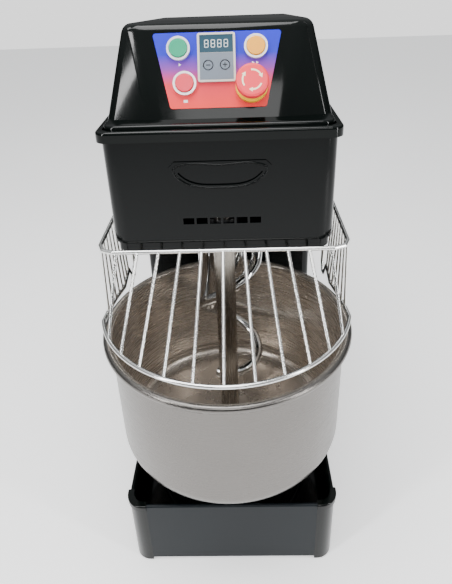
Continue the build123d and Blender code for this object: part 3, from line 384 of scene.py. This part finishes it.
def bevelEdges(obj, test, offset, segments):
    activate(obj)
    bpy.ops.object.mode_set(mode="EDIT")
    bpy.ops.mesh.select_mode(type="EDGE")
    bpy.ops.mesh.select_all(action="DESELECT")
    mesh = bmesh.from_edit_mesh(obj.data)
    for edge in mesh.edges:
        edge.select_set(test(edge.verts[0].co, edge.verts[1].co))
    bmesh.update_edit_mesh(obj.data)
    bpy.ops.mesh.bevel(offset=offset, segments=segments, affect="EDGES", profile=0.5)
    bpy.ops.object.mode_set(mode="OBJECT")


frustum = makeFrustum()
bevelEdges(frustum, lambda a, b: max(a.z, b.z) > (cover["top"] - 61) * mm, cover["ridge"] * mm, 8)
skirtMiddle = (cover["skirtFront"] + cover["skirtRear"]) / 2
skirt = cubeAt((2 * cover["skirtHalf"] * mm, (cover["skirtRear"] - cover["skirtFront"]) * mm,
                (cover["skirtTop"] - cover["skirtLow"]) * mm),
               (0, skirtMiddle * mm, (cover["skirtTop"] + cover["skirtLow"]) / 2 * mm))
bevelEdges(skirt, lambda a, b: abs(a.z - b.z) > 0.01, cover["skirtCorner"] * mm, 10)
bevelEdges(skirt, lambda a, b: min(a.z, b.z) > (cover["skirtTop"] - 0.5) * mm, cover["skirtEdge"] * mm, 5)
frustum = joinAll([frustum, skirt])
finishPiece(frustum, "mouldedCover", "machine_frame", mouldedBlack, ("top_cover",), angle=40)
print("cover done")


crescentEdge = {"half": 59.0, "top": 650.5, "low": 620.0, "corner": 9.0, "front": -199.4, "bead": 1.5}


def crescentBead():
    # a raised bead round the pressed recess, which catches the side light
    half, top, low, corner = (crescentEdge[key] for key in ("half", "top", "low", "corner"))
    points = [(-half + corner, top), (0, top), (half - corner, top), (half, top - 0.6 * corner),
              (half * 0.80, low + 0.27 * (top - low)), (half * 0.42, low + 0.04 * (top - low)), (0, low),
              (-half * 0.42, low + 0.04 * (top - low)), (-half * 0.80, low + 0.27 * (top - low)),
              (-half, top - 0.6 * corner)]
    deselect()
    bpy.ops.curve.primitive_bezier_circle_add(radius=0.01, location=(0, 0, 0))
    ring = bpy.context.active_object
    spline = ring.data.splines[0]
    spline.bezier_points.add(len(points) - len(spline.bezier_points))
    for point, (x, z) in zip(spline.bezier_points, points):
        point.co = (x * mm, crescentEdge["front"] * mm, z * mm)
        point.handle_left_type = "AUTO"
        point.handle_right_type = "AUTO"
    spline.use_cyclic_u = True
    ring.data.dimensions = "3D"
    ring.data.bevel_depth = crescentEdge["bead"] * mm
    ring.data.bevel_resolution = 5
    ring.data.resolution_u = 10
    activate(ring)
    bpy.ops.object.convert(target="MESH")
    return finishPiece(ring, "crescentBead", "machine_frame", glossCoat, angle=60)


crescentBead()
print("crescent done")

# the panel's own plane: X across, Y up the slope, Z out of it
slope = {"lean": 51.0, "height": 110.0, "frontY": -168.5, "lowZ": 701.0, "panelRise": 13.0}
tilt = asin(slope["lean"] / (slope["lean"] ** 2 + slope["height"] ** 2) ** 0.5)
facetUp = Vector((0, sin(tilt), cos(tilt)))
facetOut = Vector((0, -cos(tilt), sin(tilt)))
panelStart = Vector((0, slope["frontY"] * mm, slope["lowZ"] * mm)) + facetUp * slope["panelRise"] * mm
panelPose = Matrix((Vector((1, 0, 0)), facetUp, facetOut)).transposed().to_4x4()
panelPose.translation = panelStart


def ontoPanel(obj):
    obj.matrix_world = panelPose @ obj.matrix_world
    return obj


panel = {"face": 1.2, "timerX": -0.9, "timerHalf": 23.7, "timerFront": 5.0, "timerBorder": 2.6,
         "filmLow": 34.2, "filmHigh": 67.1, "windowLow": 67.4, "windowHigh": 89.4, "windowFront": 4.62,
         "keyX": 10.5, "keyUp": 52.0, "keyRadius": 6.2, "keyFront": 5.4,
         "stopX": 42.3, "stopUp": 25.0, "stopFront": 37.0}
digits = {"count": 4, "pitch": 8.1, "segment": 4.4, "thick": 0.85, "gap": 0.4, "relief": 0.25}
sign = {"ring": 5.7, "line": 0.45, "length": 5.6, "width": 1.1, "relief": 0.4}
arrow = {"inner": 10.6, "outer": 12.6, "sweep": 66, "first": 30, "count": 3, "headRadius": 3.1}
icon = {"dartUp": 54.5, "dartRadius": 2.1, "relief": 0.2, "squareX": -41.0, "squareUp": 9.0}


def keypadFilm():
    filmWidth = 2 * (panel["timerHalf"] - panel["timerBorder"])
    film = cubeAt((filmWidth * mm, (panel["filmHigh"] - panel["filmLow"]) * mm, 0.35 * mm),
                  (panel["timerX"] * mm, (panel["filmLow"] + panel["filmHigh"]) / 2 * mm,
                   (panel["timerFront"] + 0.12) * mm))
    cutters = []
    for side in (-1, 1):
        cutters.append(cylinderAt((panel["keyRadius"] + 0.3) * mm, 4 * mm,
                                  ((panel["timerX"] + side * panel["keyX"]) * mm, panel["keyUp"] * mm,
                                   panel["timerFront"] * mm), sides=48))
    cutAway(film, cutters)
    return finishPiece(ontoPanel(film), "timerKeypadFilm", "machine_frame", keyGrey)


def displayDigits():
    bars = []
    segment = digits["segment"]
    long = segment - digits["gap"]
    windowMiddle = (panel["windowLow"] + panel["windowHigh"]) / 2
    flatBars = [(0, along, (long, digits["thick"])) for along in (1, 0, -1)]
    uprightBars = [(across, along, (digits["thick"], long)) for along in (0.5, -0.5) for across in (-0.5, 0.5)]
    for digit in range(digits["count"]):
        x = panel["timerX"] + (digit - 1.5) * digits["pitch"]
        for across, along, (wide, tall) in flatBars + uprightBars:
            bars.append(cubeAt((wide * mm, tall * mm, digits["relief"] * mm),
                               ((x + across * segment) * mm, (windowMiddle + along * segment) * mm,
                                panel["windowFront"] * mm)))
    return finishPiece(ontoPanel(joinAll(bars)), "timerDigits", "machine_frame", digitGlow)


def keySign(name, side, body, plus):
    x = (panel["timerX"] + side * panel["keyX"]) * mm
    place = (x, panel["keyUp"] * mm, (panel["keyFront"] + 0.1) * mm)
    deselect()
    bpy.ops.mesh.primitive_torus_add(location=place, major_radius=sign["ring"] * mm,
                                     minor_radius=sign["line"] * mm, major_segments=48, minor_segments=8)
    marks = [bpy.context.active_object]
    applyAll(marks[0])
    marks.append(cubeAt((sign["length"] * mm, sign["width"] * mm, sign["relief"] * mm), place))
    if plus:
        marks.append(cubeAt((sign["width"] * mm, sign["length"] * mm, sign["relief"] * mm), place))
    return finishPiece(ontoPanel(joinAll(marks)), name, body, inkDark)


def arcBand(inner, outer, start, end, low, high, steps):
    deselect()
    bpy.ops.mesh.primitive_cylinder_add(radius=outer * mm, depth=(high - low) * mm, vertices=steps,
                                        location=(0, 0, (low + high) / 2 * mm), end_fill_type="NGON")
    band = bpy.context.active_object
    applyAll(band)
    hole = cylinderAt(inner * mm, (high - low + 2) * mm, (0, 0, (low + high) / 2 * mm), sides=steps)
    cutAway(band, [hole])
    activate(band)
    bpy.ops.object.mode_set(mode="EDIT")
    for angle, keepSide in ((start, 1), (end, -1)):
        bpy.ops.mesh.select_all(action="SELECT")
        normal = (-sin(radians(angle)) * keepSide, cos(radians(angle)) * keepSide, 0)
        bpy.ops.mesh.bisect(plane_co=(0, 0, 0), plane_no=normal, use_fill=True, clear_inner=True)
    bpy.ops.object.mode_set(mode="OBJECT")
    return band


def stopArrows():
    arrows = []
    low = panel["stopFront"] - 0.05
    high = panel["stopFront"] + 0.2
    for turn in range(arrow["count"]):
        angle = arrow["first"] + 360 / arrow["count"] * turn
        band = arcBand(arrow["inner"], arrow["outer"], angle, angle + arrow["sweep"], low, high, 120)
        deselect()
        bpy.ops.mesh.primitive_cylinder_add(radius=arrow["headRadius"] * mm, depth=(high - low) * mm, vertices=3,
                                            location=(0, 0, (low + high) / 2 * mm))
        head = bpy.context.active_object
        tipAngle = radians(angle - 6)
        head.rotation_euler = (0, 0, tipAngle - pi)
        ringRadius = (arrow["inner"] + arrow["outer"]) / 2 * mm
        head.location = (ringRadius * cos(tipAngle), ringRadius * sin(tipAngle), (low + high) / 2 * mm)
        applyAll(head)
        arrows += [band, head]
    marks = joinAll(arrows)
    marks.location = (panel["stopX"] * mm, panel["stopUp"] * mm, 0)
    applyAll(marks)
    return finishPiece(ontoPanel(marks), "stopArrows", "estop_head", creamInk)


def panelIcons():
    icons = []
    height = panel["face"] + 0.05

    def dart(x, up):
        deselect()
        bpy.ops.mesh.primitive_cylinder_add(radius=icon["dartRadius"] * mm, depth=icon["relief"] * mm, vertices=3,
                                            location=(x * mm, up * mm, height * mm), rotation=(0, 0, -pi / 2))
        icons.append(bpy.context.active_object)
        applyAll(icons[-1])

    dart(-47.5, icon["dartUp"])
    for x in (44.5, 49.5):
        dart(x, icon["dartUp"])
    icons.append(cubeAt((5.2 * mm, 3.4 * mm, icon["relief"] * mm),
                        (icon["squareX"] * mm, icon["squareUp"] * mm, height * mm)))
    return finishPiece(ontoPanel(joinAll(icons)), "panelIcons", "machine_frame", inkWhite)


keypadFilm()
displayDigits()
keySign("minusSign", -1, "minus_push", False)
keySign("plusSign", 1, "plus_push", True)
stopArrows()
panelIcons()
print("panel done")


deselect()
bpy.ops.mesh.primitive_plane_add(size=12, location=(0, 0, 0))
floor = bpy.context.active_object
floor.name = "studioFloor"
floorLook = makeMaterial("pale studio floor", "fafafa", 0.9, grain=40, tint=0.0, shine=0.1)
floorShader = nodeOf(floorLook, "BSDF_PRINCIPLED")
floorShader.inputs["Emission Color"].default_value = (1, 1, 1, 1)
floorShader.inputs["Emission Strength"].default_value = 0.55
floor.data.materials.append(floorLook)


def areaLight(name, place, aim, size, sizeY, power):
    light = bpy.data.lights.new(name, "AREA")
    light.shape = "RECTANGLE"
    light.size = size
    light.size_y = sizeY
    light.energy = power
    obj = bpy.data.objects.new(name, light)
    bpy.context.scene.collection.objects.link(obj)
    obj.location = place
    obj.rotation_euler = (Vector(aim) - Vector(place)).to_track_quat("-Z", "Y").to_euler()


areaLight("topSoftbox", (-0.2, -0.4, 2.4), (0, -0.1, 0.5), 1.3, 1.1, 52)
areaLight("leftStrip", (-1.15, -1.15, 1.25), (0, -0.1, 0.5), 0.12, 1.5, 20)
areaLight("rightStrip", (1.35, -1.05, 0.9), (0, -0.15, 0.35), 0.14, 1.5, 17)
areaLight("frontFill", (0.1, -2.4, 2.2), (0, 0, 0.4), 1.0, 0.7, 14)

# a white surround, with softer light from overhead than from the sides
sky = {"seen": 1.6, "colour": (0.96, 0.98, 1.0, 1),
       "riseFrom": 0.25, "riseTo": 0.85, "side": 0.10, "overhead": 0.85}
world = bpy.data.worlds.new("studio")
bpy.context.scene.world = world
world.use_nodes = True
worldTree = world.node_tree
worldTree.nodes.clear()
heading = addNode(worldTree, "TexCoord")
headingSplit = addNode(worldTree, "SeparateXYZ", links={"Vector": heading.outputs["Generated"]})
skyRise = addNode(worldTree, "MapRange",
                  {"From Min": sky["riseFrom"], "From Max": sky["riseTo"], "To Min": sky["side"],
                   "To Max": sky["overhead"]}, {"Value": headingSplit.outputs["Z"]})
lit = addNode(worldTree, "Background", {"Color": sky["colour"]}, {"Strength": skyRise.outputs["Result"]})
seen = addNode(worldTree, "Background", {"Color": (1, 1, 1, 1), "Strength": sky["seen"]})
rays = addNode(worldTree, "LightPath")
worldMix = addNode(worldTree, "MixShader",
                   links={"Fac": rays.outputs["Is Camera Ray"], 1: lit.outputs["Background"],
                          2: seen.outputs["Background"]})
addNode(worldTree, "OutputWorld", links={"Surface": worldMix.outputs["Shader"]})

view = {"lens": 32.73, "shiftX": -0.0022, "shiftY": -0.0905, "place": (0.02528, -0.83134, 0.87624),
        "yaw": -1.75, "pitch": 27.65, "roll": -2.13}
camera = bpy.data.cameras.new("camera")
camera.lens = view["lens"]
camera.sensor_width = 36
camera.shift_x = view["shiftX"]
camera.shift_y = view["shiftY"]
camera.clip_start = 0.02
cameraObject = bpy.data.objects.new("camera", camera)
bpy.context.scene.collection.objects.link(cameraObject)
yaw, pitch, roll = (radians(view[turn]) for turn in ("yaw", "pitch", "roll"))
ahead = Vector((sin(yaw) * cos(pitch), cos(yaw) * cos(pitch), -sin(pitch)))
right = Vector((cos(yaw), -sin(yaw), 0))
above = right.cross(ahead)
rightRolled = right * cos(roll) + above * sin(roll)
aboveRolled = above * cos(roll) - right * sin(roll)
cameraPose = Matrix((rightRolled, aboveRolled, -ahead)).transposed().to_4x4()
cameraPose.translation = Vector(view["place"])
cameraObject.matrix_world = cameraPose
bpy.context.scene.camera = cameraObject
print("stage done")
